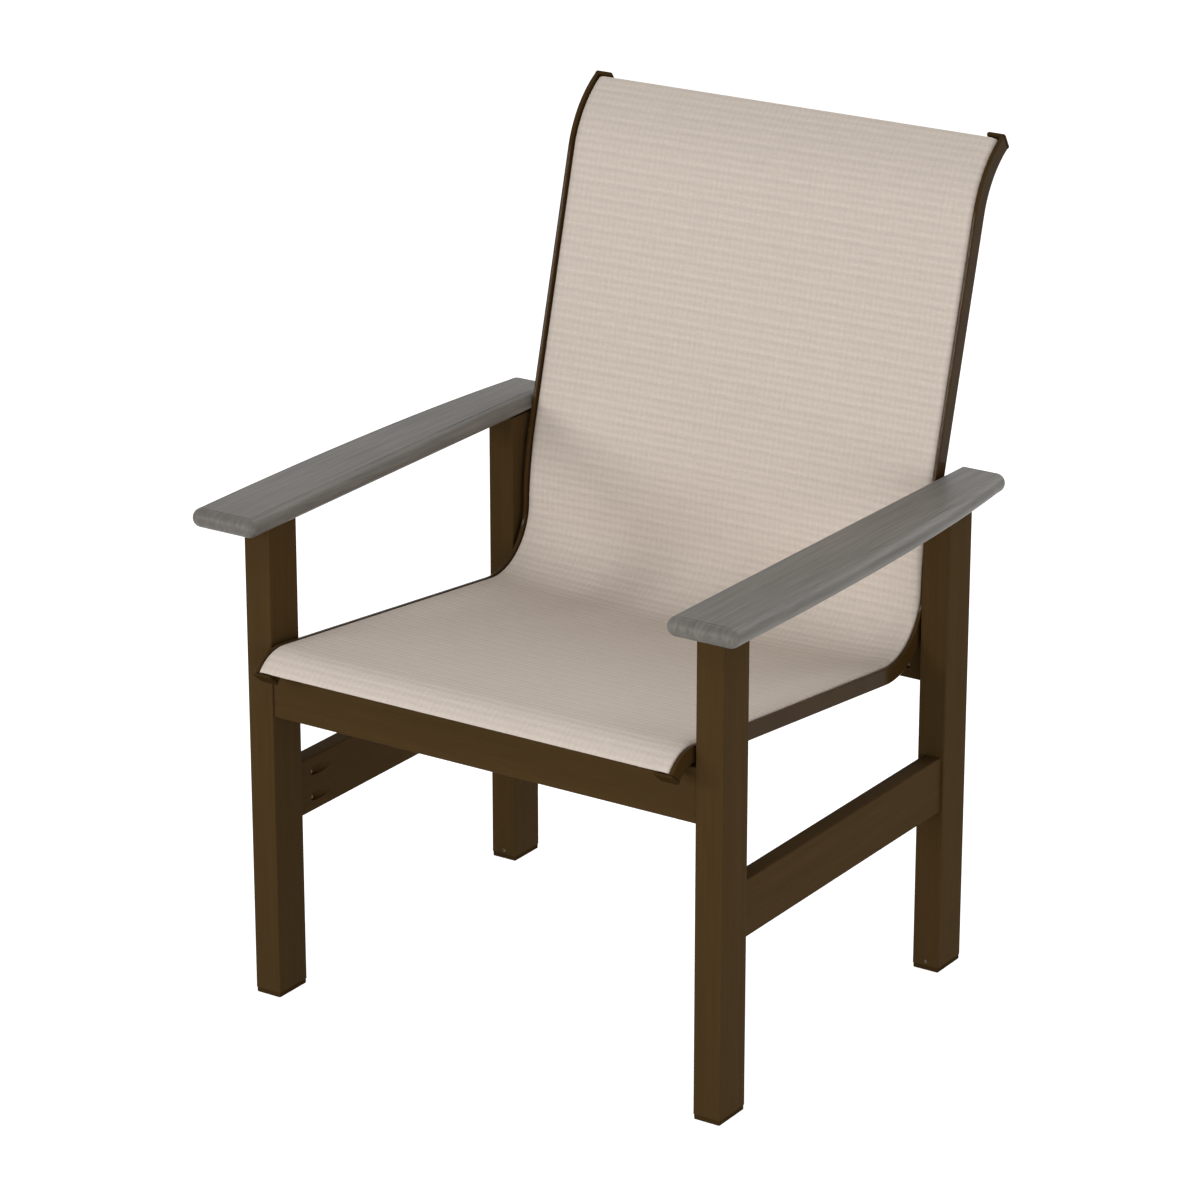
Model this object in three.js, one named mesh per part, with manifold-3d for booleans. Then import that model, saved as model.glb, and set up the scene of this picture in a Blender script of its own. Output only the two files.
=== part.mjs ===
// Sling patio chair: a frame of poly lumber boards that carries two bent aluminium rails,
// with one length of woven fabric stretched between them.
// Millimetres, +Z up. The sitter faces -Y, and "left" is the -X side.
import * as THREE from "three";
import { mergeVertices } from "three/addons/utils/BufferGeometryUtils.js";
import Module from "manifold-3d";

const wasm = await Module();
wasm.setup();

// Driving sizes of the frame
const frameWidth = 660; // over the outer faces of the legs
const frameDepth = 553; // front face of the front legs to back face of the back legs
const armHeight = 621; // top of the arms above the floor
const seatHeight = 451.5; // top of the fabric's front roll above the floor

// Clearances that all pieces share
const fit = 0.3; // gap left where two pieces touch
const overrun = 2; // how far a cutter passes the face that it cuts
const holeClearance = 0.4; // radial room round a screw

// Fineness of round shapes
const cornerSteps = 2;
const roundSides = 8;
const curveSteps = 10;

// Legs
const legWidth = 36; // across the chair
const legDepth = 54; // front to back
const legRadius = 1.6;

// Boards of the frame
const boardThickness = 23;
const boardRadius = 2;
const stretcherHeight = 70;
const stretcherFloorGap = 212;
const stretcherInset = 3.5; // set back from the legs' outer faces
const crossRailHeight = 68;
const crossRailDrop = 21.5; // top edge below the seat's front roll
const crossRailInset = 3; // set back from the legs' front or back faces

// Arms
const armThickness = 23;
const armOverhangFront = 48; // in front of the front legs
const armOverhangBack = 40; // behind the back legs
const armInsetFront = 13; // inner edge inside the legs' inner faces, at the front
const armInsetBack = 3;
const armFlareFront = 43; // outer edge outside the legs' outer faces, at the front
const armFlareMiddle = 48.5; // how far the outer edge's curve is pulled out between its ends
const armFlareBack = 25;
const armRadius = 10.5; // corners in plan
const armNose = 9.5; // rounding of the arm's edges
const armNoseSteps = 4;
const armPullShares = [0.33, 0.7]; // where along the arm its outer curve is pulled out

// Side profile of the fabric, from its front edge up to its top edge
const slingFrontReach = 36.6; // front edge ahead of the front legs
const frontDrop = THREE.MathUtils.degToRad(50.7); // how steeply the front edge rises
const seatPitch = THREE.MathUtils.degToRad(5.9); // how far the seat falls to the back
const backFoot = THREE.MathUtils.degToRad(89.4); // heading of the back just above the bend
const backPitch = THREE.MathUtils.degToRad(75.2); // heading of the back's straight part
const topPitch = THREE.MathUtils.degToRad(31.5); // heading at the rolled-over top edge
const frontRollRadius = 50;
const seatShortfall = 127; // the frame's depth less the seat's straight run
const bendRadius = 78;
const lumbarLength = 101;
const backLength = 348;
const topRollRadius = 132;

// Sling rails: x is measured from the chair's middle, and depth from the fabric's front surface
const railGap = 5; // between each rail and the legs
const railWidth = 23;
const railDepth = 18; // behind the fabric's front surface
const railChamfer = 1.5;
const beadRise = 3; // the outer bead stands in front of the fabric
const beadWidth = 5;
const mouthWidth = 4.3; // slot that the fabric goes through
const lipSetback = 0.6; // the inner lip lies this far behind the fabric
const chamberRadius = 4;
const chamberDepth = 7; // centre of the spline chamber
const chamberSteps = 7;
const railWall = 2;
const railEndReach = 1; // the rail runs on past the fabric's ends, up to the plugs

// Fabric and its splines
const fabricThickness = 1.2;
const fabricSag = 6; // at the middle, between the rails
const fabricSteps = 10;
const splineRadius = 1.9;
const splineSides = 6;
const hemSteps = 6;
const hemStart = THREE.MathUtils.degToRad(15); // where the hem leaves the slot for the spline
const hemEnd = THREE.MathUtils.degToRad(345); // where it stops, short of itself

// Plugs in the rails' ends
const capThickness = 4;
const capLip = 0.8; // stands out round the rail
const capRadius = 3;
const capTongue = 6; // into the rail's cell
const capPlay = 0.8; // room round the tongue, as the rail is bent where it enters

// Spreader bar behind the back
const spreaderShare = 0.55; // how far up the back's straight part it sits
const spreaderHeight = 22;
const spreaderThickness = 10;
const spreaderBow = 36;
const spreaderPegRadius = 3.5;
const spreaderPegReach = 7; // into the rail, past its inner face

// Screws: pocket screws join the boards and arms, rail screws hold the sling rails
const pocketAngle = THREE.MathUtils.degToRad(15);
const pocketRadius = 4.5;
const pocketSeatDepth = 4.3; // centre of the head's seat under the board's face
const pocketExit = 12.5; // where the screw leaves the board, from its pocket face
const pocketRowShare = 0.265; // how far each screw lies from the board's edge, as a share of its height
const pocketScrew = { headRadius: 4, headHeight: 2.5, shankRadius: 2, grip: 24 };
const armScrewGrip = 15; // how far the arm screws go into the arms
const armScrewExit = 14; // where they leave the leg's top, from its back face
const railScrew = { headRadius: 3.6, headHeight: 2.4, shankRadius: 2, grip: 24 };
const railScrewDepth = 14.3; // screw centre behind the fabric's front surface, clear of the spline
const frontScrewInset = 39; // rail screw behind the front leg's front face
const bendScrewRise = 3.5; // lower screw of the back leg, above the seat's front roll
const backScrewShare = 0.74; // how far up from there to the leg's top the upper screw sits
const spacerRadius = 6;
const screwTip = 3;

// Glides under the legs
const glideHeight = 6;
const glideInset = 0.5;
const glideStemRadius = 6;
const glideStemHeight = 16;
const glideScrewHeight = 11; // above the floor
const glideScrew = { headRadius: 2.5, headHeight: 1.6, shankRadius: 1.5, grip: 34 };

// Places that follow from the sizes above
const legInner = frameWidth / 2 - legWidth;
const legCentre = frameWidth / 2 - legWidth / 2;
const armUnderside = armHeight - armThickness;
const armInnerFront = legInner - armInsetFront;
const armInnerBack = legInner - armInsetBack;
const armOuterFront = frameWidth / 2 + armFlareFront;
const armOuterMiddle = frameWidth / 2 + armFlareMiddle;
const armOuterBack = frameWidth / 2 + armFlareBack;
const legTop = armUnderside - fit;
const legLength = legTop - glideHeight - fit;
const crossRailFloorGap = seatHeight - crossRailDrop - crossRailHeight;
const seatLength = frameDepth - seatShortfall;
const railOuter = legInner - railGap;
const railInner = railOuter - railWidth;
const mouthOuter = railOuter - beadWidth;
const mouthInner = mouthOuter - mouthWidth;
const chamberX = (mouthOuter + mouthInner) / 2;
const lipDepth = fabricThickness + lipSetback;
const cellInner = railInner + railWall; // hollow of the rail, between the chair's middle and the chamber
const cellOuter = chamberX - chamberRadius - railWall;
const fabricEdge = mouthInner + fit; // inner face of the fabric where it turns into the slot

// Materials
function finish(color, roughness, metalness) {
  return new THREE.MeshStandardMaterial({ color, roughness, metalness });
}

const brownLumber = () => finish(0x45341f, 0.6, 0);
const greyLumber = () => finish(0x6e6a64, 0.65, 0);
const brownPowderCoat = () => finish(0x4a3a28, 0.45, 0.2);
const wovenSling = () => finish(0xcbbfb3, 0.85, 0);
const brownNylon = () => finish(0x3a2c1b, 0.55, 0);
const whiteSpline = () => finish(0xd8d4cc, 0.5, 0);
const coatedSteel = () => finish(0x5a4a38, 0.4, 0.6);

const chair = new THREE.Group();
chair.name = "sling_patio_chair";

function addMesh(name, geometry, material) {
  const mesh = new THREE.Mesh(geometry, material);
  mesh.name = name;
  chair.add(mesh);
  return mesh;
}

// Joining and cutting solids
function toSolid(geometry) {
  const bare = geometry.clone();
  bare.deleteAttribute("normal");
  bare.deleteAttribute("uv");
  const merged = mergeVertices(bare);
  const vertProperties = new Float32Array(merged.attributes.position.array);
  const triVerts = new Uint32Array(merged.index.array);
  return new wasm.Manifold(new wasm.Mesh({ numProp: 3, vertProperties, triVerts }));
}

function toGeometry(solid) {
  const mesh = solid.getMesh();
  const geometry = new THREE.BufferGeometry();
  geometry.setAttribute("position", new THREE.BufferAttribute(mesh.vertProperties, 3));
  geometry.setIndex(new THREE.BufferAttribute(mesh.triVerts, 1));
  geometry.computeVertexNormals();
  return geometry;
}

// The cutters are geometries in the chair's own frame
function cut(mesh, cutters) {
  mesh.updateMatrixWorld();
  const toMesh = mesh.matrixWorld.clone().invert();
  let solid = toSolid(mesh.geometry);
  for (const cutter of cutters) {
    solid = solid.subtract(toSolid(cutter.clone().applyMatrix4(toMesh)));
  }
  mesh.geometry = toGeometry(solid);
}

// A rod from one point along a direction, in the chair's frame
function rod(start, direction, radius, length, sides = roundSides) {
  const geometry = new THREE.CylinderGeometry(radius, radius, length, sides);
  geometry.translate(0, length / 2, 0);
  const up = new THREE.Vector3(0, 1, 0);
  geometry.applyQuaternion(new THREE.Quaternion().setFromUnitVectors(up, direction));
  geometry.translate(start.x, start.y, start.z);
  return geometry;
}

function roundedRectangle(width, height, radius) {
  const x = width / 2 - radius;
  const y = height / 2 - radius;
  const shape = new THREE.Shape();
  shape.absarc(x, y, radius, 0, Math.PI / 2);
  shape.absarc(-x, y, radius, Math.PI / 2, Math.PI);
  shape.absarc(-x, -y, radius, Math.PI, Math.PI * 1.5);
  shape.absarc(x, -y, radius, Math.PI * 1.5, Math.PI * 2);
  return shape;
}

// A board with rounded long edges, centred on its own length, which runs along Z
function board(width, height, length, radius) {
  const shape = roundedRectangle(width, height, radius);
  const settings = { depth: length, bevelEnabled: false, curveSegments: cornerSteps };
  const geometry = new THREE.ExtrudeGeometry(shape, settings);
  geometry.translate(0, 0, -length / 2);
  return geometry;
}

// Screws. Each is a seat under its head, a direction and a size, so that its holes follow it.
function screwAt(name, seat, direction, size, length) {
  return { name, seat, direction: direction.clone().normalize(), size, length };
}

function screwMesh(screw, material) {
  const { headRadius, headHeight, shankRadius } = screw.size;
  const profile = [
    new THREE.Vector2(0, screw.length),
    new THREE.Vector2(shankRadius, screw.length - screwTip),
    new THREE.Vector2(shankRadius, -fit),
    new THREE.Vector2(headRadius, -fit),
    new THREE.Vector2(headRadius, -fit - headHeight),
    new THREE.Vector2(0, -fit - headHeight),
  ];
  const mesh = addMesh(screw.name, new THREE.LatheGeometry(profile.reverse(), roundSides), material);
  mesh.position.copy(screw.seat);
  mesh.quaternion.setFromUnitVectors(new THREE.Vector3(0, 1, 0), screw.direction);
  if (signedVolume(mesh.geometry) < 0) flip(mesh.geometry);
  return mesh;
}

function pilotHole(screw) {
  const radius = screw.size.shankRadius + holeClearance;
  const start = screw.seat.clone().addScaledVector(screw.direction, -overrun);
  return rod(start, screw.direction, radius, screw.length + overrun + fit);
}

function pocketHole(screw, radius, length) {
  const back = screw.direction.clone().negate();
  return rod(screw.seat, back, radius, length);
}

function signedVolume(geometry) {
  const position = geometry.attributes.position;
  const index = geometry.index.array;
  const a = new THREE.Vector3();
  const b = new THREE.Vector3();
  const c = new THREE.Vector3();
  let total = 0;
  for (let i = 0; i < index.length; i += 3) {
    a.fromBufferAttribute(position, index[i]);
    b.fromBufferAttribute(position, index[i + 1]);
    c.fromBufferAttribute(position, index[i + 2]);
    total += a.dot(b.cross(c));
  }
  return total;
}

function flip(geometry) {
  const index = geometry.index.array;
  for (let i = 0; i < index.length; i += 3) {
    [index[i], index[i + 1]] = [index[i + 1], index[i]];
  }
  geometry.computeVertexNormals();
}

// The fabric's path from its front edge, as runs of a length and a change of heading
const slingRuns = [
  { length: frontRollRadius * (frontDrop + seatPitch), turn: -(frontDrop + seatPitch), steps: 5 },
  { length: seatLength, turn: 0, steps: 4 },
  { length: bendRadius * (backFoot + seatPitch), turn: backFoot + seatPitch, steps: 8 },
  { length: lumbarLength, turn: backPitch - backFoot, steps: 2 },
  { length: backLength, turn: 0, steps: 3 },
  { length: topRollRadius * (backPitch - topPitch), turn: topPitch - backPitch, steps: 5 },
];
const slingLength = slingRuns.reduce((total, run) => total + run.length, 0);
const slingStartY = -slingFrontReach;
const slingStartZ = seatHeight - frontRollRadius * (1 - Math.cos(frontDrop));

// Place and heading on the path at a distance from its start. Past its ends it runs straight on.
function pathAt(distance) {
  let y = slingStartY;
  let z = slingStartZ;
  let heading = frontDrop;
  let left = distance;
  for (const run of slingRuns) {
    const step = Math.min(left, run.length);
    const bend = run.turn / run.length;
    if (bend === 0 || step < 0) {
      y += step * Math.cos(heading);
      z += step * Math.sin(heading);
    } else {
      const end = heading + bend * step;
      y += (Math.sin(end) - Math.sin(heading)) / bend;
      z += (Math.cos(heading) - Math.cos(end)) / bend;
      heading = end;
    }
    left -= step;
    if (left <= 0) return { y, z, heading };
  }
  return { y: y + left * Math.cos(heading), z: z + left * Math.sin(heading), heading };
}

// A point at x across the chair and at a depth behind the fabric's front surface
function pointOn(distance, x, depth) {
  const { y, z, heading } = pathAt(distance);
  return new THREE.Vector3(x, y + depth * Math.sin(heading), z - depth * Math.cos(heading));
}

function stationsBetween(start, end) {
  const stations = [start];
  let runStart = 0;
  for (const run of slingRuns) {
    for (let i = 0; i < run.steps; i++) {
      const distance = runStart + (run.length * i) / run.steps;
      if (distance > start + fit && distance < end - fit) stations.push(distance);
    }
    runStart += run.length;
  }
  if (runStart < end - fit) stations.push(runStart);
  stations.push(end);
  return stations;
}

// The first distance along the path, from a start, where a test of the place holds
function distanceWhere(start, test) {
  const stride = fit;
  let distance = start;
  while (!test(pathAt(distance)) && distance < slingLength) distance += stride;
  return distance;
}

// Sweeps a section along the path. The section gives [outline, ...holes] as points of x and depth.
function sweep(sectionAt, stations) {
  const first = sectionAt(stations[0]);
  const outline = first[0].map(([x, depth]) => new THREE.Vector2(x, depth));
  const holes = first.slice(1).map((hole) => hole.map(([x, depth]) => new THREE.Vector2(x, depth)));
  const perRing = first.flat().length;
  const positions = [];
  for (const distance of stations) {
    for (const [x, depth] of sectionAt(distance).flat()) {
      positions.push(...pointOn(distance, x, depth).toArray());
    }
  }
  const index = [];
  for (let row = 0; row < stations.length - 1; row++) {
    let loopStart = row * perRing;
    for (const loop of first) {
      for (let i = 0; i < loop.length; i++) {
        const a = loopStart + i;
        const b = loopStart + ((i + 1) % loop.length);
        index.push(a, b, b + perRing, a, b + perRing, a + perRing);
      }
      loopStart += loop.length;
    }
  }
  const last = (stations.length - 1) * perRing;
  const clockwise = THREE.ShapeUtils.isClockWise(outline);
  for (const face of THREE.ShapeUtils.triangulateShape(outline, holes)) {
    const [a, b, c] = clockwise ? face.reverse() : face;
    index.push(a, c, b, last + a, last + b, last + c);
  }
  const geometry = new THREE.BufferGeometry();
  geometry.setAttribute("position", new THREE.Float32BufferAttribute(positions, 3));
  geometry.setIndex(index);
  if (signedVolume(geometry) < 0) flip(geometry);
  geometry.computeVertexNormals();
  return geometry;
}

// Points on an arc of the section, with the angle counted from the front towards the chair's middle
function sectionArc(centreX, centreDepth, radius, from, to, steps) {
  const points = [];
  for (let i = 0; i <= steps; i++) {
    const angle = from + ((to - from) * i) / steps;
    points.push([centreX - radius * Math.sin(angle), centreDepth - radius * Math.cos(angle)]);
  }
  return points;
}

// Frame: legs, boards and the screws between them
const sides = [
  { side: -1, word: "left" },
  { side: 1, word: "right" },
];
const rows = [
  { row: "front", y: legDepth / 2, inward: 1 },
  { row: "back", y: frameDepth - legDepth / 2, inward: -1 },
];
const legs = {};
const boards = {};
const screws = [];
const pocketCuts = {};

for (const { side, word } of sides) {
  for (const { row, y } of rows) {
    const name = `${row}_leg_${word}`;
    const leg = addMesh(name, board(legWidth, legDepth, legLength, legRadius), brownLumber());
    leg.position.set(side * legCentre, y, glideHeight + fit + legLength / 2);
    legs[name] = leg;
    pocketCuts[name] = [];
  }
}

// A pocket screw that leaves a board's end: "along" points to the leg, "face" out of the pocket face
function pocketSeat(exitPoint, along, face) {
  const direction = along.clone().multiplyScalar(Math.cos(pocketAngle));
  direction.addScaledVector(face, -Math.sin(pocketAngle));
  const run = (pocketExit - pocketSeatDepth) / Math.sin(pocketAngle);
  return { seat: exitPoint.clone().addScaledVector(direction, -run), direction, run };
}

function boardScrews(boardName, legName, end, along, face, bottom, height) {
  const inset = height * pocketRowShare;
  const heights = { lower: bottom + inset, upper: bottom + height - inset };
  const kind = boardName.startsWith("side") ? "stretcher_screw" : "cross_rail_screw";
  for (const [level, z] of Object.entries(heights)) {
    const exitPoint = end.clone().setZ(z);
    const { seat, direction, run } = pocketSeat(exitPoint, along, face);
    const name = `${kind}_${legName.replace("_leg", "")}_${level}`;
    const screw = screwAt(name, seat, direction, pocketScrew, run + pocketScrew.grip);
    screws.push(screw);
    const pocketLength = (2 * boardThickness) / Math.sin(pocketAngle);
    pocketCuts[boardName].push(pocketHole(screw, pocketRadius, pocketLength), pilotHole(screw));
    pocketCuts[legName].push(pilotHole(screw));
  }
}

const stretcherX = frameWidth / 2 - stretcherInset - boardThickness / 2;
const stretcherLength = frameDepth - 2 * legDepth - 2 * fit;
for (const { side, word } of sides) {
  const name = `side_stretcher_${word}`;
  const geometry = board(boardThickness, stretcherHeight, stretcherLength, boardRadius);
  geometry.rotateX(Math.PI / 2);
  const mesh = addMesh(name, geometry, brownLumber());
  mesh.position.set(side * stretcherX, frameDepth / 2, stretcherFloorGap + stretcherHeight / 2);
  boards[name] = mesh;
  pocketCuts[name] = [];
  const face = new THREE.Vector3(-side, 0, 0);
  const exitX = stretcherX - boardThickness / 2 + pocketExit;
  for (const { row, inward } of rows) {
    const endY = row === "front" ? legDepth : frameDepth - legDepth;
    const end = new THREE.Vector3(side * exitX, endY, 0);
    const along = new THREE.Vector3(0, -inward, 0);
    boardScrews(name, `${row}_leg_${word}`, end, along, face, stretcherFloorGap, stretcherHeight);
  }
}

const crossRailLength = 2 * (legInner - fit);
const crossRails = [
  { row: "front", y: crossRailInset + boardThickness / 2, inward: 1 },
  { row: "back", y: frameDepth - crossRailInset - boardThickness / 2, inward: -1 },
];
for (const { row, y, inward } of crossRails) {
  const name = `${row}_cross_rail`;
  const geometry = board(crossRailHeight, boardThickness, crossRailLength, boardRadius);
  geometry.rotateY(Math.PI / 2);
  const mesh = addMesh(name, geometry, brownLumber());
  mesh.position.set(0, y, crossRailFloorGap + crossRailHeight / 2);
  boards[name] = mesh;
  pocketCuts[name] = [];
  const face = new THREE.Vector3(0, inward, 0);
  const exitY = y + inward * (boardThickness / 2 - pocketExit);
  for (const { side, word } of sides) {
    const end = new THREE.Vector3(side * legInner, exitY, 0);
    const along = new THREE.Vector3(side, 0, 0);
    boardScrews(name, `${row}_leg_${word}`, end, along, face, crossRailFloorGap, crossRailHeight);
  }
}

// Arms: straight inner edge, and an outer edge that bows out and curves in towards the back
function roundArmCorner(shape, side, x, y, from) {
  const angle = (value) => (side > 0 ? value : Math.PI - value);
  shape.absarc(side * x, y, armRadius, angle(from), angle(from + Math.PI / 2), side < 0);
}

function armShape(side) {
  const front = -armOverhangFront;
  const back = frameDepth + armOverhangBack;
  const [frontPull, backPull] = armPullShares.map((share) => front + (back - front) * share);
  const middle = side * armOuterMiddle;
  const shape = new THREE.Shape();
  roundArmCorner(shape, side, armInnerFront + armRadius, front + armRadius, Math.PI);
  roundArmCorner(shape, side, armOuterFront - armRadius, front + armRadius, -Math.PI / 2);
  shape.bezierCurveTo(middle, frontPull, middle, backPull, side * armOuterBack, back - armRadius);
  roundArmCorner(shape, side, armOuterBack - armRadius, back - armRadius, 0);
  shape.lineTo(side * armInnerBack, back);
  return shape;
}

const arms = {};
for (const { side, word } of sides) {
  const geometry = new THREE.ExtrudeGeometry(armShape(side), {
    depth: armThickness - 2 * armNose,
    bevelThickness: armNose,
    bevelSize: armNose,
    bevelOffset: -armNose,
    bevelSegments: armNoseSteps,
    curveSegments: curveSteps,
  });
  geometry.translate(0, 0, armNose);
  const arm = addMesh(`arm_${word}`, geometry, greyLumber());
  arm.position.z = armUnderside;
  arms[word] = arm;
  pocketCuts[arm.name] = [];
}

// Arm screws: up from each leg's back face into the arm
for (const { side, word } of sides) {
  for (const { row, y } of rows) {
    const legName = `${row}_leg_${word}`;
    const direction = new THREE.Vector3(0, -Math.sin(pocketAngle), Math.cos(pocketAngle));
    const exitPoint = new THREE.Vector3(side * legCentre, y + legDepth / 2 - armScrewExit, legTop);
    const run = (armScrewExit - pocketSeatDepth) / Math.sin(pocketAngle);
    const seat = exitPoint.clone().addScaledVector(direction, -run);
    const screw = screwAt(`arm_screw_${row}_${word}`, seat, direction, pocketScrew, run + armScrewGrip);
    screws.push(screw);
    const pocketRun = pocketSeatDepth / Math.sin(pocketAngle) + pocketRadius / Math.tan(pocketAngle);
    pocketCuts[legName].push(pocketHole(screw, pocketRadius, 2 * pocketRun), pilotHole(screw));
    pocketCuts[`arm_${word}`].push(pilotHole(screw));
  }
}

// Glides, each with a stem in the leg and a screw through the stem
for (const { side, word } of sides) {
  for (const { row, y, inward } of rows) {
    const legName = `${row}_leg_${word}`;
    const plate = board(legWidth - 2 * glideInset, legDepth - 2 * glideInset, glideHeight, legRadius);
    plate.translate(side * legCentre, y, glideHeight / 2);
    const up = new THREE.Vector3(0, 0, 1);
    const stemFoot = new THREE.Vector3(side * legCentre, y, glideHeight / 2);
    const stem = rod(stemFoot, up, glideStemRadius, glideHeight / 2 + glideStemHeight);
    const glideSolid = toSolid(plate).add(toSolid(stem));
    const glide = addMesh(`glide_${row}_${word}`, toGeometry(glideSolid), brownNylon());
    const socketRadius = glideStemRadius + fit;
    pocketCuts[legName].push(rod(stemFoot, up, socketRadius, glideHeight / 2 + glideStemHeight + fit));
    const seatY = y + inward * (legDepth / 2 - glideScrew.headHeight - fit);
    const seat = new THREE.Vector3(side * legCentre, seatY, glideScrewHeight);
    const direction = new THREE.Vector3(0, -inward, 0);
    const screw = screwAt(`glide_screw_${row}_${word}`, seat, direction, glideScrew, glideScrew.grip);
    screws.push(screw);
    const recessDepth = glideScrew.headHeight + fit + overrun;
    const recess = pocketHole(screw, glideScrew.headRadius + holeClearance, recessDepth);
    pocketCuts[legName].push(recess, pilotHole(screw));
    cut(glide, [pilotHole(screw)]);
  }
}

// Sling rails: an extrusion with an outer bead, a slot and chamber for the spline, and a hollow cell
function railSection(side) {
  const outline = [
    [railOuter, railDepth - railChamfer],
    [railOuter - railChamfer, railDepth],
    [railInner + railChamfer, railDepth],
    [railInner, railDepth - railChamfer],
    [railInner, lipDepth + railChamfer],
    [railInner + railChamfer, lipDepth],
    [mouthInner, lipDepth],
    ...chamberPoints(),
    [mouthOuter, -beadRise + railChamfer],
    [mouthOuter + railChamfer / 2, -beadRise],
    [railOuter - railChamfer, -beadRise],
    [railOuter, -beadRise + railChamfer],
  ];
  const cell = [
    [cellInner, lipDepth + railWall],
    [cellInner, railDepth - railWall],
    [cellOuter, railDepth - railWall],
    [cellOuter, lipDepth + railWall],
  ];
  return [outline, cell].map((loop) => loop.map(([x, depth]) => [side * x, depth]));
}

function chamberPoints() {
  const mouthAngle = Math.asin(mouthWidth / 2 / chamberRadius);
  const endAngle = 2 * Math.PI - mouthAngle;
  return sectionArc(chamberX, chamberDepth, chamberRadius, mouthAngle, endAngle, chamberSteps);
}

const railStations = stationsBetween(-railEndReach, slingLength + railEndReach);
const rails = {};
for (const { side, word } of sides) {
  const geometry = sweep(() => railSection(side), railStations);
  rails[word] = addMesh(`sling_rail_${word}`, geometry, brownPowderCoat());
  pocketCuts[`sling_rail_${word}`] = [];
}

// Rail screws with their spacers, through each rail into the legs
const seatEnd = slingRuns[0].length + slingRuns[1].length;
const bendScrewHeight = seatHeight + bendScrewRise;
const backScrewHeight = bendScrewHeight + (legTop - bendScrewHeight) * backScrewShare;
const railScrewPlaces = [
  { place: "front", row: "front", distance: distanceWhere(0, ({ y }) => y > frontScrewInset) },
  { place: "bend", row: "back", distance: distanceWhere(seatEnd, ({ z }) => z > bendScrewHeight) },
  { place: "back", row: "back", distance: distanceWhere(seatEnd, ({ z }) => z > backScrewHeight) },
];
for (const { side, word } of sides) {
  for (const { place, row, distance } of railScrewPlaces) {
    const seat = pointOn(distance, side * (railInner - fit), railScrewDepth);
    const direction = new THREE.Vector3(side, 0, 0);
    const length = legInner - railInner + railScrew.grip;
    const screw = screwAt(`rail_screw_${place}_${word}`, seat, direction, railScrew, length);
    screws.push(screw);
    pocketCuts[`sling_rail_${word}`].push(pilotHole(screw));
    pocketCuts[`${row}_leg_${word}`].push(pilotHole(screw));
    const spacerLength = legInner - railOuter - 2 * fit;
    const bore = railScrew.shankRadius + holeClearance;
    const ring = [
      new THREE.Vector2(bore, 0),
      new THREE.Vector2(spacerRadius, 0),
      new THREE.Vector2(spacerRadius, spacerLength),
      new THREE.Vector2(bore, spacerLength),
      new THREE.Vector2(bore, 0),
    ];
    const washer = new THREE.LatheGeometry(ring, roundSides);
    const spacer = addMesh(`rail_spacer_${place}_${word}`, washer, brownNylon());
    spacer.position.copy(seat).setX(side * (railOuter + fit));
    spacer.quaternion.setFromUnitVectors(new THREE.Vector3(0, 1, 0), direction);
  }
}

// Fabric: sags a little between the rails, and its hems go through the slots and round the splines
function sagAt(distance, x) {
  const across = x / fabricEdge;
  const along = Math.sin((Math.PI * distance) / slingLength);
  return fabricSag * (1 - across * across) * along;
}

function hem(side) {
  const inner = splineRadius + fit;
  const outer = inner + fabricThickness;
  const inward = sectionArc(chamberX, chamberDepth, outer, hemStart * 2, hemEnd, hemSteps);
  const outward = sectionArc(chamberX, chamberDepth, inner, hemEnd, hemStart, hemSteps);
  const innerFace = fabricEdge;
  const outerFace = fabricEdge + fabricThickness;
  const turn = [
    [innerFace, fabricThickness],
    ...inward,
    ...outward,
    [outerFace, fabricThickness / 2],
    [innerFace + fabricThickness / 2, 0],
  ];
  return turn.map(([x, depth]) => [side * x, depth]);
}

function slingSection(distance) {
  const points = [];
  const front = [];
  for (let i = 1; i < fabricSteps; i++) {
    const x = fabricEdge * (1 - (2 * i) / fabricSteps);
    front.push([x, sagAt(distance, x)]);
  }
  const back = front.map(([x, depth]) => [x, depth + fabricThickness]).reverse();
  points.push(...hem(1), ...front, ...hem(-1).reverse(), ...back);
  return [points];
}

addMesh("sling", sweep(slingSection, stationsBetween(0, slingLength)), wovenSling());

for (const { side, word } of sides) {
  const circle = sectionArc(chamberX, chamberDepth, splineRadius, 0, 2 * Math.PI, splineSides).slice(1);
  const section = [circle.map(([x, depth]) => [side * x, depth])];
  addMesh(`spline_${word}`, sweep(() => section, stationsBetween(0, slingLength)), whiteSpline());
}

// End plugs: a plate over each rail's end, with a tongue in the rail's cell
const capWidth = railWidth + 2 * capLip;
const capHeight = beadRise + railDepth + 2 * capLip;
const cellWidth = cellOuter - cellInner;
const cellHeight = railDepth - lipDepth - 2 * railWall;

function capGeometry(side) {
  const plate = new THREE.ExtrudeGeometry(roundedRectangle(capHeight, capWidth, capRadius), {
    depth: capThickness,
    bevelEnabled: false,
    curveSegments: cornerSteps,
  });
  plate.translate((railDepth - beadRise) / 2, side * (railOuter + railInner) / 2, 0);
  const tongueLength = capTongue + capThickness / 2;
  const tongue = new THREE.BoxGeometry(cellHeight - 2 * capPlay, cellWidth - 2 * capPlay, tongueLength);
  const tongueDepth = lipDepth + railWall + cellHeight / 2;
  tongue.translate(tongueDepth, (side * (cellInner + cellOuter)) / 2, tongueLength / 2 - capTongue);
  return toGeometry(toSolid(plate).add(toSolid(tongue)));
}

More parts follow.
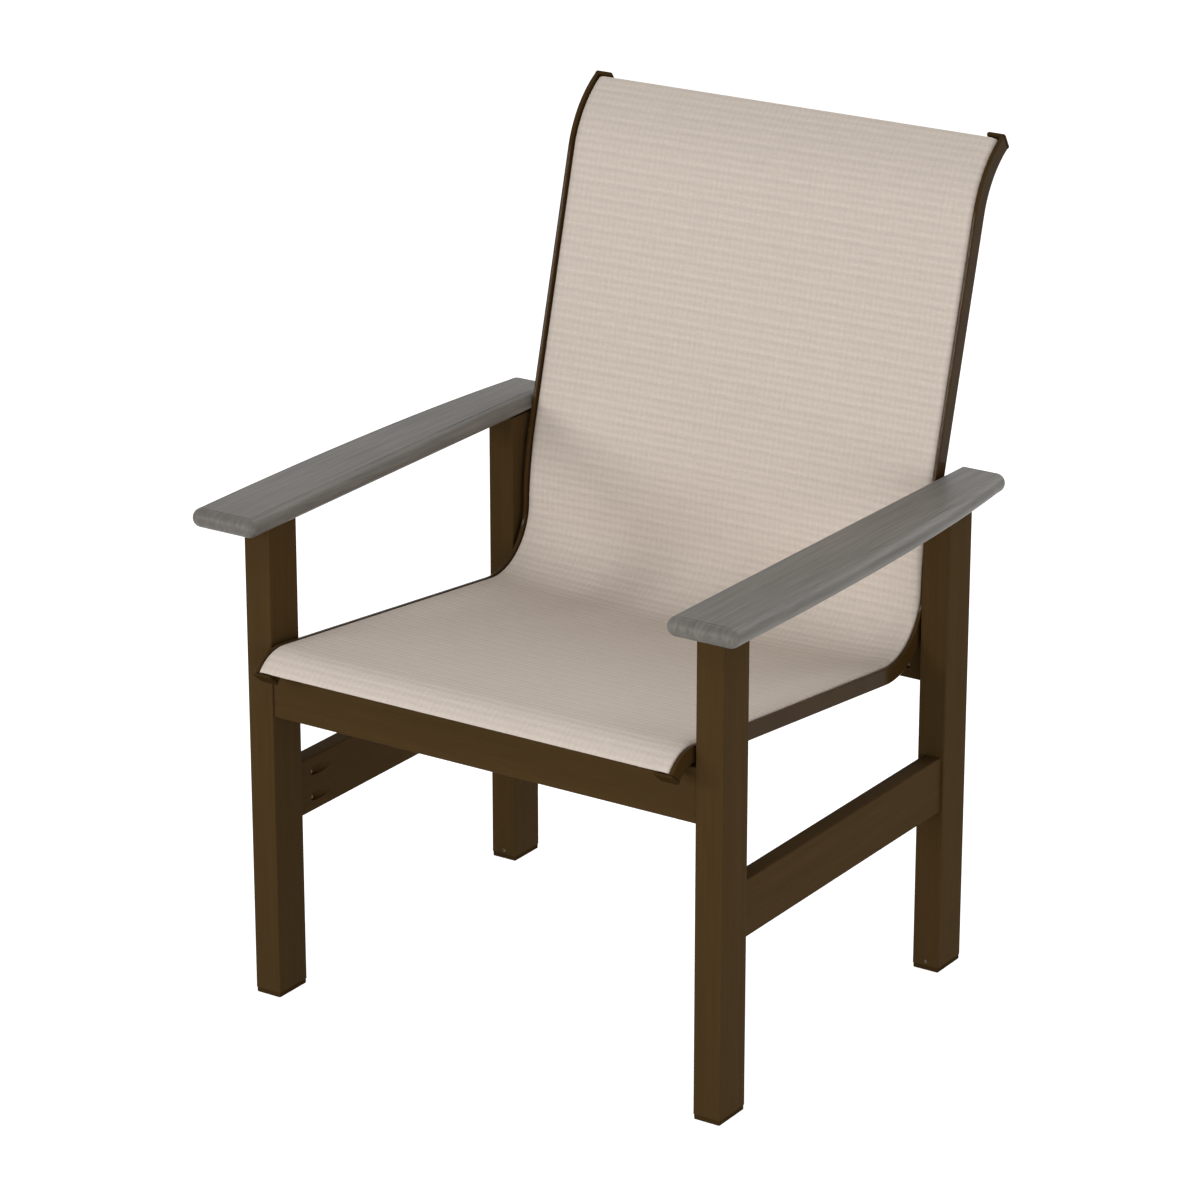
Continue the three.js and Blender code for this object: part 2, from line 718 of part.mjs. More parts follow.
const capEnds = [
  { row: "front", distance: -railEndReach - fit, outward: -1 },
  { row: "top", distance: slingLength + railEndReach + fit, outward: 1 },
];
for (const { side, word } of sides) {
  for (const { row, distance, outward } of capEnds) {
    const { heading } = pathAt(distance);
    const along = new THREE.Vector3(0, Math.cos(heading), Math.sin(heading)).multiplyScalar(outward);
    const depth = new THREE.Vector3(0, Math.sin(heading), -Math.cos(heading));
    const across = new THREE.Vector3().crossVectors(along, depth);
    const cap = addMesh(`end_cap_${row}_${word}`, capGeometry(side * across.x), brownNylon());
    cap.quaternion.setFromRotationMatrix(new THREE.Matrix4().makeBasis(depth, across, along));
    cap.position.copy(pointOn(distance, 0, 0));
  }
}

// Spreader bar: an arch behind the back, with a peg at each end that enters the rail's cell
const runsBelowBack = slingRuns.slice(0, 4).reduce((total, run) => total + run.length, 0);
const spreaderDistance = runsBelowBack + backLength * spreaderShare;
const spreaderReach = railInner - fit;
const spreaderDepth = (lipDepth + railDepth) / 2; // centre of the bar's ends

function spreaderShape() {
  const near = spreaderDepth - spreaderThickness / 2;
  const far = near + spreaderThickness;
  const pull = 2 * spreaderBow; // control point of a parabola that peaks at the bow
  const shape = new THREE.Shape();
  shape.moveTo(-spreaderReach, near);
  shape.quadraticCurveTo(0, near + pull, spreaderReach, near);
  shape.lineTo(spreaderReach, far);
  shape.quadraticCurveTo(0, far + pull, -spreaderReach, far);
  return shape;
}

function spreaderPeg(side) {
  const start = new THREE.Vector3(side * (spreaderReach - overrun), spreaderDepth, 0);
  const direction = new THREE.Vector3(side, 0, 0);
  return rod(start, direction, spreaderPegRadius, spreaderPegReach + fit + overrun);
}

const arch = new THREE.ExtrudeGeometry(spreaderShape(), {
  depth: spreaderHeight,
  bevelEnabled: false,
  curveSegments: curveSteps,
});
arch.translate(0, 0, -spreaderHeight / 2);
const spreaderSolid = toSolid(arch).add(toSolid(spreaderPeg(-1))).add(toSolid(spreaderPeg(1)));
const spreader = addMesh("back_spreader", toGeometry(spreaderSolid), brownPowderCoat());
const spreaderHeading = pathAt(spreaderDistance).heading;
spreader.position.copy(pointOn(spreaderDistance, 0, 0));
spreader.rotation.x = spreaderHeading - Math.PI / 2;
for (const { side, word } of sides) {
  const start = pointOn(spreaderDistance, side * (railInner - overrun), spreaderDepth);
  const direction = new THREE.Vector3(side, 0, 0);
  const length = overrun + spreaderPegReach + fit;
  pocketCuts[`sling_rail_${word}`].push(rod(start, direction, spreaderPegRadius + fit, length));
}

// Holes, then the screws that go in them
for (const group of [legs, boards, arms, rails]) {
  for (const mesh of Object.values(group)) cut(mesh, pocketCuts[mesh.name]);
}
for (const screw of screws) screwMesh(screw, coatedSteel());

// The origin goes under the middle of the chair's box
chair.updateMatrixWorld(true);
const box = new THREE.Box3().setFromObject(chair);
chair.position.set(0, -(box.min.y + box.max.y) / 2, -box.min.z);

export default chair;
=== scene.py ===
import math
import bmesh
import bpy
from mathutils import Matrix, Vector


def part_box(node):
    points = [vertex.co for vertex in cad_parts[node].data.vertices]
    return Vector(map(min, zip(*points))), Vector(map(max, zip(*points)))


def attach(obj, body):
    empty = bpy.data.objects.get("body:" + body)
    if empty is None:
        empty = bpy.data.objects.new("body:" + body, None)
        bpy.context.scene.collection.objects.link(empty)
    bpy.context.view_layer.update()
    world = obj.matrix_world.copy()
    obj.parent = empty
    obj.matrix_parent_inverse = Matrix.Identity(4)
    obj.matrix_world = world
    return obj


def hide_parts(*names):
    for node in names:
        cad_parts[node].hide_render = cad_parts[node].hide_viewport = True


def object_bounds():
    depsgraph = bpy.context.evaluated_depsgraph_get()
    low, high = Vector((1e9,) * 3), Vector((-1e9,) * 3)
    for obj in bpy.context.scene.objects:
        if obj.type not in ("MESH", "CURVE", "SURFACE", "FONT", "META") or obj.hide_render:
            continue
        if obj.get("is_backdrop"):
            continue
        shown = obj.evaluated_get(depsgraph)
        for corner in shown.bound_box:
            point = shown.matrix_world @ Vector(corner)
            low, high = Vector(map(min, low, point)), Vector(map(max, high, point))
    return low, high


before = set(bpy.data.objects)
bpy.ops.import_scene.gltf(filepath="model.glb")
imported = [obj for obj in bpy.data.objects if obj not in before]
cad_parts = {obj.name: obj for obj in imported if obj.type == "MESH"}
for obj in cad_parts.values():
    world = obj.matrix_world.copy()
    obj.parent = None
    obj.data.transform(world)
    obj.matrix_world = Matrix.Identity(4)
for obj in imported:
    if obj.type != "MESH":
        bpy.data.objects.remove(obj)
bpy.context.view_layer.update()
bpy.ops.object.select_all(action="DESELECT")
scene = bpy.context.scene
mm = 0.001
sides = {"left": -1, "right": 1}
tiny = 1e-6  # metres, for telling places apart
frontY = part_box("front_leg_left")[0].y  # front faces of the front legs


# Camera: the photograph's own viewpoint, worked out from its perspective
camera = {
    "place": Vector((2.8574, -4.3800, 2.3809)),
    "target": Vector((-0.3477, 0.4549, 0.2626)),
    "lens": 140.394, "sensor": 36, "reach": 100,
}
bpy.ops.object.camera_add(location=camera["place"])
viewer = bpy.context.object
viewer.name = "photoCamera"
viewer.rotation_euler = (camera["target"] - camera["place"]).to_track_quat("-Z", "Y").to_euler()
viewer.data.lens = camera["lens"]
viewer.data.sensor_width = camera["sensor"]
viewer.data.clip_end = camera["reach"]
scene.camera = viewer
print("camera set")


# Materials
def linear(hexColour):
    channels = [int(hexColour[i:i + 2], 16) / 255 for i in (1, 3, 5)]
    return [c / 12.92 if c <= 0.04045 else ((c + 0.055) / 1.055) ** 2.4 for c in channels] + [1]


def addNode(tree, kind, inputs=None, **settings):
    node = tree.nodes.new("ShaderNode" + kind)
    for name, value in settings.items():
        setattr(node, name, value)
    for name, value in (inputs or {}).items():
        if isinstance(value, bpy.types.NodeSocket):
            tree.links.new(value, node.inputs[name])
        else:
            node.inputs[name].default_value = value
    return node


def newMaterial(name, looks):
    material = bpy.data.materials.new(name)
    material.use_nodes = True
    shader = material.node_tree.nodes["Principled BSDF"]
    sockets = {
        "roughness": "Roughness", "specular": "Specular IOR Level",
        "metallic": "Metallic", "sheen": "Sheen Weight",
    }
    for key, socket in sockets.items():
        if key in looks:
            shader.inputs[socket].default_value = looks[key]
    return material, material.node_tree, shader


def objectNoise(tree, size, detail=2):
    # Soft patches of a size in mm, fixed to the piece
    place = addNode(tree, "TexCoord").outputs["Object"]
    scale = 1 / (size * mm)
    return addNode(tree, "TexNoise", {"Vector": place, "Scale": scale, "Detail": detail}).outputs["Fac"]


def addColour(tree, shader, pattern, looks, low=0.3, high=0.7):
    ramp = addNode(tree, "ValToRGB", {"Fac": pattern})
    ramp.color_ramp.elements[0].position = low
    ramp.color_ramp.elements[0].color = linear(looks["dark"])
    ramp.color_ramp.elements[1].position = high
    ramp.color_ramp.elements[1].color = linear(looks["light"])
    tree.links.new(ramp.outputs["Color"], shader.inputs["Base Color"])


def addBump(tree, shader, height, looks):
    bump = addNode(tree, "Bump", {
        "Height": height, "Strength": looks["bump"], "Distance": looks["relief"] * mm,
    })
    tree.links.new(bump.outputs["Normal"], shader.inputs["Normal"])


# Boards of recycled polyethylene: the colour goes right through, and the skin from the extruder's
# die has a soft satin look with faint streaks along the board.
def polyLumber(name, along, looks):
    material, tree, shader = newMaterial(name, looks)
    place = addNode(tree, "TexCoord").outputs["Object"]
    patterns = []
    for width, length in looks["streaks"]:
        size = [1 / (width * mm), 1 / (width * mm), 1 / (width * looks["tall"] * mm)]
        size["XYZ".index(along)] = 1 / (length * mm)
        sized = addNode(tree, "Mapping", {"Vector": place, "Scale": size}).outputs["Vector"]
        noise = addNode(tree, "TexNoise", {"Vector": sized, "Scale": 1, "Detail": 3, "Roughness": 0.55})
        patterns.append(noise.outputs["Fac"])
    mixed = addNode(tree, "Mix", {"Factor": 0.5, "A": patterns[0], "B": patterns[1]}).outputs["Result"]
    addColour(tree, shader, mixed, looks)
    addBump(tree, shader, patterns[0], looks)
    return material


# Streaks are given by their width and length in mm, and tall is their height in widths
brownLooks = {
    "dark": "#44331B", "light": "#4C3920", "roughness": 0.65, "specular": 0.03,
    "streaks": [(1.6, 70), (9, 260)], "tall": 1, "bump": 0.25, "relief": 0.15,
}
greyLooks = {
    "dark": "#56534E", "light": "#78746D", "roughness": 0.45, "specular": 0.3,
    "streaks": [(2.0, 70), (7, 160)], "tall": 4, "bump": 0.5, "relief": 0.25,
}
brownLumber = {axis: polyLumber("brownPolyLumber" + axis, axis, brownLooks) for axis in "XYZ"}
greyLumber = polyLumber("weatheredGreyPolyLumber", "Y", greyLooks)


# Polyester powder baked on extruded aluminium: even colour, a satin gloss and a slight orange peel
powderLooks = {
    "dark": "#412E15", "light": "#47341B", "patch": 40, "peel": 1.8,  # sizes in mm
    "roughness": 0.12, "specular": 0.03, "bump": 0.12, "relief": 0.04,
}


def powderCoat():
    material, tree, shader = newMaterial("brownPowderCoat", powderLooks)
    addColour(tree, shader, objectNoise(tree, powderLooks["patch"]), powderLooks)
    addBump(tree, shader, objectNoise(tree, powderLooks["peel"]), powderLooks)
    return material


# Moulded nylon plugs, glides and spacers: a fine spark-eroded grain from the mould, and no shine
nylonLooks = {
    "dark": "#3B2B17", "light": "#45341D", "grain": 0.7,  # size in mm
    "roughness": 0.6, "specular": 0, "bump": 0.3, "relief": 0.04,
}


def mouldedNylon():
    material, tree, shader = newMaterial("brownMouldedNylon", nylonLooks)
    grain = objectNoise(tree, nylonLooks["grain"])
    addColour(tree, shader, grain, nylonLooks)
    addBump(tree, shader, grain, nylonLooks)
    return material


# Steel screws with a baked brown coat over zinc, rubbed through in small patches
steelLooks = {"dark": "#4A3A28", "light": "#6B5A45", "wear": 2.5, "metallic": 0.6, "gloss": (0.32, 0.5)}


def coatedSteel():
    material, tree, shader = newMaterial("brownCoatedSteel", steelLooks)
    wear = objectNoise(tree, steelLooks["wear"], 3)
    addColour(tree, shader, wear, steelLooks)
    low, high = steelLooks["gloss"]
    gloss = addNode(tree, "MapRange", {"Value": wear, "To Min": low, "To Max": high})
    tree.links.new(gloss.outputs["Result"], shader.inputs["Roughness"])
    return material


# Extruded PVC cord inside the hems: white, with a slight haze
vinylLooks = {"dark": "#D2CDC4", "light": "#DEDAD2", "haze": 6, "roughness": 0.45}


def splineVinyl():
    material, tree, shader = newMaterial("whiteSplineVinyl", vinylLooks)
    addColour(tree, shader, objectNoise(tree, vinylLooks["haze"]), vinylLooks)
    return material


# Woven sling: vinyl-coated polyester yarns. Every fourth yarn stands up as a rib, which is what
# shows at a distance. The UV map holds metres on the flat cloth.
weave = {
    "weft": 2.4,  # mm from yarn to yarn along the sling, four to a rib
    "warp": 1.9,  # mm from yarn to yarn across it, four to a heavier line
    "dark": "#BBAFA3", "light": "#EDE0D4",
    "roughness": 0.75, "specular": 0.2, "sheen": 0.08,
    # How much each pattern shades the cloth, and the slubs' sizes in mm across and along it
    "rib": 0.075, "pair": 0.03, "line": 0.028, "over": 0.03,
    "slubs": [((34, 3.2, 3), 0.28), ((3.2, 26, 2), 0.16), ((3.4, 3.4, 1), 0.3)],
    # How much each pattern lifts it
    "yarnLift": 0.35, "overLift": 0.25, "ribLift": 0.3, "lineLift": 0.15, "bump": 0.35, "relief": 0.3,
}


def wovenSling():
    material, tree, shader = newMaterial("wovenSlingFabric", weave)
    cloth = addNode(tree, "UVMap", uv_map="UVMap").outputs["UV"]
    place = addNode(tree, "SeparateXYZ", {"Vector": cloth}).outputs

    def wave(axis, pitch):
        turns = {0: place[axis], 1: 2 * math.pi / (pitch * mm)}
        angle = addNode(tree, "Math", turns, operation="MULTIPLY").outputs["Value"]
        return addNode(tree, "Math", {0: angle}, operation="SINE").outputs["Value"]

    def slub(across, along, detail):
        # Yarns vary in thickness and tone along their length: a value around 0, in patches
        size = (1 / (across * mm), 1 / (along * mm), 1)
        sized = addNode(tree, "Mapping", {"Vector": cloth, "Scale": size}).outputs["Vector"]
        texture = addNode(tree, "TexNoise", {"Vector": sized, "Scale": 1, "Detail": detail}).outputs["Fac"]
        return addNode(tree, "Math", {0: texture, 1: 0.5}, operation="SUBTRACT").outputs["Value"]

    def total(result, parts):
        for value, amount in parts:
            terms = {0: value, 1: amount, 2: result}
            result = addNode(tree, "Math", terms, operation="MULTIPLY_ADD").outputs["Value"]
        return result

    weftYarn, warpYarn = wave("Y", 2 * weave["weft"]), wave("X", 2 * weave["warp"])
    rib, pair = wave("Y", 4 * weave["weft"]), wave("Y", 8 * weave["weft"])
    line = wave("X", 4 * weave["warp"])
    # Which yarn is on top
    over = addNode(tree, "Math", {0: weftYarn, 1: warpYarn}, operation="MULTIPLY").outputs["Value"]
    shades = [(rib, weave["rib"]), (pair, weave["pair"]), (line, weave["line"]), (over, weave["over"])]
    shades += [(slub(*sizes), amount) for sizes, amount in weave["slubs"]]
    addColour(tree, shader, total(0.5, shades), weave, 0, 1)
    ridge = addNode(tree, "Math", {0: weftYarn}, operation="ABSOLUTE").outputs["Value"]
    lifts = [(ridge, weave["yarnLift"]), (over, weave["overLift"])]
    lifts += [(rib, weave["ribLift"]), (line, weave["lineLift"])]
    addBump(tree, shader, total(0, lifts), weave)
    return material


powder = powderCoat()
nylon = mouldedNylon()
steel = coatedSteel()
vinyl = splineVinyl()
fabric = wovenSling()
for side in sides:
    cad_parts["spline_" + side].material_slots[0].material = vinyl
print("materials made")


# Modelling helpers
def choose(piece):
    bpy.ops.object.select_all(action="DESELECT")
    bpy.context.view_layer.objects.active = piece
    piece.select_set(True)


def edit(piece):
    choose(piece)
    bpy.ops.object.mode_set(mode="EDIT")


def leaveEdit():
    bpy.ops.object.mode_set(mode="OBJECT")


def pick(piece, kind, test):
    bpy.ops.mesh.select_mode(type=kind)
    bpy.ops.mesh.select_all(action="DESELECT")
    mesh = bmesh.from_edit_mesh(piece.data)
    for part in {"VERT": mesh.verts, "EDGE": mesh.edges, "FACE": mesh.faces}[kind]:
        if test(part):
            part.select_set(True)
    bmesh.update_edit_mesh(piece.data)


def middle(edge):
    return (edge.verts[0].co + edge.verts[1].co) / 2


def runsAlong(edge, axis):
    return abs((edge.verts[0].co - edge.verts[1].co).normalized()[axis]) > 0.99


def applyPlace(piece):
    choose(piece)
    bpy.ops.object.transform_apply(location=True, rotation=True, scale=True)


def addBlock(low, high):
    bpy.ops.mesh.primitive_cube_add(size=1, location=(low + high) / 2)
    block = bpy.context.object
    block.scale = high - low
    applyPlace(block)
    return block


def addRod(start, direction, radius, length, vertices=32):
    turn = direction.to_track_quat("Z", "Y").to_euler()
    bpy.ops.mesh.primitive_cylinder_add(
        vertices=vertices, radius=radius, depth=length,
        location=start + direction * length / 2, rotation=turn,
    )
    rod = bpy.context.object
    applyPlace(rod)
    return rod


def combine(piece, others, operation):
    for other in others:
        step = piece.modifiers.new("combine", "BOOLEAN")
        step.operation = operation
        step.solver = "EXACT"
        step.object = other
        bpy.context.view_layer.objects.active = piece
        bpy.ops.object.modifier_apply(modifier=step.name)
        bpy.data.objects.remove(other)


def bevel(reach, segments, kind="EDGES"):
    bpy.ops.mesh.bevel(offset=reach * mm, segments=segments, affect=kind, clamp_overlap=False)


def roundEdges(piece, radius, segments, test):
    # The radius is in mm
    edit(piece)
    pick(piece, "EDGE", test)
    bevel(radius, segments)
    leaveEdit()


def outwards(piece):
    edit(piece)
    bpy.ops.mesh.select_all(action="SELECT")
    bpy.ops.mesh.remove_doubles(threshold=tiny)
    bpy.ops.mesh.normals_make_consistent(inside=False)
    leaveEdit()


def finishPiece(piece, name, material, nodes, smoothAngle=35):
    piece.name = name
    piece.data.name = name
    piece.data.materials.clear()
    piece.data.materials.append(material)
    choose(piece)
    bpy.ops.object.shade_smooth_by_angle(angle=math.radians(smoothAngle))
    weigh = piece.modifiers.new("weigh", "WEIGHTED_NORMAL")
    weigh.keep_sharp = True
    bpy.ops.object.modifier_apply(modifier=weigh.name)
    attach(piece, "root")
    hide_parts(*nodes)


# Screws: every place comes from its CAD node, whose tip and middle both lie on its axis. A shank's
# hole is wider by the clearance, and a pocket starts a little behind the head's seat.
screwKinds = {
    "stretcher_screw": {"head": 4, "height": 2.5, "shank": 2, "drive": 1.6, "pocket": 6.2},
    "cross_rail_screw": {"head": 4, "height": 2.5, "shank": 2, "drive": 1.6, "pocket": 6.2},
    "arm_screw": {"head": 4, "height": 2.5, "shank": 2, "drive": 1.6, "pocket": 4.5},
    "glide_screw": {"head": 2.5, "height": 1.6, "shank": 1.5, "drive": 1, "pocket": 2.9},
    "rail_screw": {"head": 3.6, "height": 2.4, "shank": 2, "drive": 1.5, "pocket": 0},
}
screwSizes = {
    "clearance": 0.4, "past": 1, "pocketBehind": 0.3, "pocketLength": 55,
    "dome": 0.35, "driveFrom": 0.45, "driveTo": 2,  # shares of the head's height
    "point": 0.08,  # share of the shank's width
    "headSides": 24, "shankSides": 16, "holeSides": 12, "domeSteps": 3,
}


def screwLine(node):
    points = {tuple(round(c, 7) for c in vertex.co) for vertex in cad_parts[node].data.vertices}
    points = [Vector(point) for point in points]
    centre = sum(points, Vector()) / len(points)
    tip = max(points, key=lambda point: (point - centre).length)
    back = (centre - tip).normalized()
    length = max((point - tip).dot(back) for point in points)
    return tip, back, length


screws = {}
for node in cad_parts:
    for kind, size in screwKinds.items():
        if node.startswith(kind + "_"):
            tip, back, length = screwLine(node)
            seat = tip + back * (length - size["height"] * mm)
            screws[node] = {"tip": tip, "back": back, "length": length, "seat": seat, "size": size}


def screwHoles(names, pocketed):
    holes = []
    for name in names:
        screw = screws[name]
        tip, back, seat = screw["tip"], screw["back"], screw["seat"]
        radius = (screw["size"]["shank"] + screwSizes["clearance"]) * mm
        start = tip - back * screwSizes["past"] * mm
        holes.append(addRod(start, back, radius, screw["length"], screwSizes["holeSides"]))
        if name in pocketed:
            start = seat - back * screwSizes["pocketBehind"] * mm
            length = screwSizes["pocketLength"] * mm
            holes.append(addRod(start, back, screw["size"]["pocket"] * mm, length))
    return holes


# Legs and boards
boards = {"longRadius": 1.8, "endRadius": 0.2, "segments": 3, "endSegments": 2, "buttReach": 0.25}


def addBoard(node, axis, reach=0):
    low, high = [corner.copy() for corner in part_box(node)]
    low[axis] -= reach * mm
    high[axis] += reach * mm
    board = addBlock(low, high)
    roundEdges(board, boards["longRadius"], boards["segments"], lambda edge: runsAlong(edge, axis))
    ends = [low[axis], high[axis]]
    roundEdges(
        board, boards["endRadius"], boards["endSegments"],
        lambda edge: any(abs(v - middle(edge)[axis]) < tiny for v in ends) and not runsAlong(edge, axis),
    )
    return board


for side in sides:
    for row in ("front", "back"):
        node = f"{row}_leg_{side}"
        leg = addBoard(node, 2)
        pocketed = [f"arm_screw_{row}_{side}", f"glide_screw_{row}_{side}"]
        through = [n for n in screws if side in n and row in n and not n.startswith("rail_screw")]
        places = ["front"] if row == "front" else ["bend", "back"]
        through += [f"rail_screw_{place}_{side}" for place in places]
        combine(leg, screwHoles(through, pocketed), "DIFFERENCE")
        finishPiece(leg, f"{row}Leg{side.title()}", brownLumber["Z"], [node])
    node = "side_stretcher_" + side
    stretcher = addBoard(node, 1, boards["buttReach"])
    names = [n for n in screws if n.startswith("stretcher_screw") and side in n]
    combine(stretcher, screwHoles(names, names), "DIFFERENCE")
    finishPiece(stretcher, "sideStretcher" + side.title(), brownLumber["Y"], [node])
for row in ("front", "back"):
    rail = addBoard(row + "_cross_rail", 0, boards["buttReach"])
    names = [n for n in screws if n.startswith("cross_rail_screw_" + row)]
    combine(rail, screwHoles(names, names), "DIFFERENCE")
    finishPiece(rail, row + "CrossRail", brownLumber["X"], [row + "_cross_rail"])
print("legs and boards made")


# Arms: outline drawn as a plane, raised, and its edges rounded to a bullnose
armSizes = {
    "innerFront": 281, "innerBack": 291, "outerFront": 373, "outerMiddle": 378.5, "outerBack": 355,
    "pulls": (0.33, 0.7), "corner": 12, "cornerClear": 2, "cornerSteps": 9,
    "nose": 11.3, "noseSteps": 10, "cuts": 30, "halvings": 40,
    "grooveWidth": 1.0, "grooveDepth": 0.5, "grooveReach": (0.2, 0.4),
    "flatSides": 6,  # only the flat top and bottom have this many sides or more
}


def bezier(a, b, c, d, t):
    return a * (1 - t) ** 3 + 3 * b * t * (1 - t) ** 2 + 3 * c * t * t * (1 - t) + d * t ** 3


def armOuterX(share, start, end):
    # x of the bowed edge at a share of the arm's length, from the curve through the pull points
    pulls = [start + (end - start) * pull for pull in armSizes["pulls"]]
    first, last = start + armSizes["corner"], end - armSizes["corner"]
    y = start + (end - start) * share
    low, high = 0.0, 1.0
    for _ in range(armSizes["halvings"]):
        t = (low + high) / 2
        if bezier(first, pulls[0], pulls[1], last, t) < y:
            low = t
        else:
            high = t
    middleX = armSizes["outerMiddle"]
    return bezier(armSizes["outerFront"], middleX, middleX, armSizes["outerBack"], t)


def isFlat(face):
    return len(face.verts) >= armSizes["flatSides"]


for side, sign in sides.items():
    low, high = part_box("arm_" + side)
    start, end = low.y / mm, high.y / mm
    bpy.ops.mesh.primitive_plane_add(size=1, location=(0, (low.y + high.y) / 2, low.z))
    arm = bpy.context.object
    arm.scale = (1, high.y - low.y, 1)
    applyPlace(arm)
    edit(arm)
    # The plane is 1 m wide, and its long edge at +X becomes the bowed one
    pick(arm, "EDGE", lambda edge: middle(edge).x > 0.5 - tiny)
    bpy.ops.mesh.subdivide(number_cuts=armSizes["cuts"], ngon=True)
    mesh = bmesh.from_edit_mesh(arm.data)
    clear = (armSizes["corner"] + armSizes["cornerClear"]) / (end - start)
    for vertex in mesh.verts:
        share = min(max((vertex.co.y / mm - start) / (end - start), 0), 1)
        if vertex.co.x > 0:
            x = armOuterX(min(max(share, clear), 1 - clear), start, end)
        else:
            x = armSizes["innerFront"] + (armSizes["innerBack"] - armSizes["innerFront"]) * share
        vertex.co.x = sign * x * mm
    bmesh.update_edit_mesh(arm.data)
    # Both front corners and the outer back one are rounded
    outside = (armSizes["innerBack"] + armSizes["outerBack"]) / 2 * mm
    corners = [v.co.copy() for v in mesh.verts if v.co.y < low.y + tiny]
    corners += [v.co.copy() for v in mesh.verts if v.co.y > high.y - tiny and abs(v.co.x) > outside]
    pick(arm, "VERT", lambda vertex: any((vertex.co - corner).length < tiny for corner in corners))
    bevel(armSizes["corner"], armSizes["cornerSteps"], "VERTICES")
    bpy.ops.mesh.select_all(action="SELECT")
    bpy.ops.mesh.extrude_region_move(TRANSFORM_OT_translate={"value": (0, 0, high.z - low.z)})
    pick(arm, "EDGE", lambda edge: abs(edge.verts[0].co.z - edge.verts[1].co.z) < tiny)
    bevel(armSizes["nose"], armSizes["noseSteps"])
    bpy.ops.mesh.select_all(action="SELECT")
    bpy.ops.mesh.normals_make_consistent(inside=False)
    # The fine groove the cutter leaves where the nose meets the flat
    top = high.z - tiny
    near, far = [high.z - reach * mm for reach in armSizes["grooveReach"]]
    pick(arm, "EDGE", lambda e: middle(e).z > top and not all(isFlat(f) for f in e.link_faces))
    bevel(armSizes["grooveWidth"] / 2, 2)
    pick(arm, "VERT", lambda v: v.co.z > near and not any(isFlat(f) for f in v.link_faces)
         and all(n.other_vert(v).co.z > far for n in v.link_edges))
    bpy.ops.transform.translate(value=(0, 0, -armSizes["grooveDepth"] * mm))
    leaveEdit()
    holes = screwHoles([f"arm_screw_{row}_{side}" for row in ("front", "back")], [])
    combine(arm, holes, "DIFFERENCE")
    finishPiece(arm, "arm" + side.title(), greyLumber, ["arm_" + side], smoothAngle=38)
print("arms made")


# The sling's path from its front edge up to its top edge, as runs of a length and a turn. Its
# headings are in degrees, 0 to the back and 90 straight up.
headings = {"front": 50.7, "seat": -5.9, "lumbar": 89.4, "back": 75.2, "top": 31.5}
path = {
    "startY": -36.6, "crestZ": 451.5,
    "runs": [
        {"radius": 50, "turn": headings["seat"] - headings["front"], "steps": 14},
        {"length": 426, "turn": 0, "steps": 22},
        {"radius": 78, "turn": headings["lumbar"] - headings["seat"], "steps": 26},
        {"length": 101, "turn": headings["back"] - headings["lumbar"], "steps": 8},
        {"length": 348, "turn": 0, "steps": 18},
        {"radius": 132, "turn": headings["top"] - headings["back"], "steps": 16},
    ],
}
for run in path["runs"]:
    run["turn"] = math.radians(run["turn"])
    if "length" not in run:
        run["length"] = run["radius"] * abs(run["turn"])
slingLength = sum(run["length"] for run in path["runs"])
startHeading = math.radians(headings["front"])
startZ = path["crestZ"] - path["runs"][0]["radius"] * (1 - math.cos(startHeading))


def pathAt(distance):
    y, z, heading, left = path["startY"], startZ, startHeading, distance
    for run in path["runs"]:
        step = min(left, run["length"])
        if run["turn"] == 0 or step < 0:
            y += step * math.cos(heading)
            z += step * math.sin(heading)
        else:
            bend = run["turn"] / run["length"]
            end = heading + bend * step
            y += (math.sin(end) - math.sin(heading)) / bend
            z += (math.cos(heading) - math.cos(end)) / bend
            heading = end
        left -= step
        if left <= 0:
            return y, z, heading
    return y + left * math.cos(heading), z + left * math.sin(heading), heading


def pathFrame(distance):
    # Matrix from (x, depth behind the fabric's front, distance on from here) to the chair's frame
    y, z, heading = pathAt(distance)
    sine, cosine = math.sin(heading), math.cos(heading)
    return Matrix((
        (1, 0, 0, 0),
        (0, sine, cosine, frontY + y * mm),
        (0, -cosine, sine, z * mm),
        (0, 0, 0, 1),
    ))


def placeOnPath(piece, distance):
    piece.matrix_world = pathFrame(distance)
    applyPlace(piece)


def sweepFrom(piece, lead):
    # Pulls the flat section along the whole path, with a short straight lead at both ends
    def pull(heading, reach):
        step = (0, reach * mm * math.cos(heading), reach * mm * math.sin(heading))
        bpy.ops.mesh.extrude_region_move(TRANSFORM_OT_translate={"value": step})

    edit(piece)
    bpy.ops.mesh.select_all(action="SELECT")
    pull(startHeading, lead)
    distance = 0
    for run in path["runs"]:
        y, z, heading = pathAt(distance)
        if run["turn"] == 0:
            pull(heading, run["length"])
        else:
            radius = run["length"] / run["turn"]
            centreY = frontY + (y - radius * math.sin(heading)) * mm
            centre = (0, centreY, (z + radius * math.cos(heading)) * mm)
            bpy.ops.mesh.spin(steps=run["steps"], angle=-run["turn"], center=centre, axis=(1, 0, 0))
        distance += run["length"]
    pull(pathAt(distance)[2], lead)
    leaveEdit()
    outwards(piece)


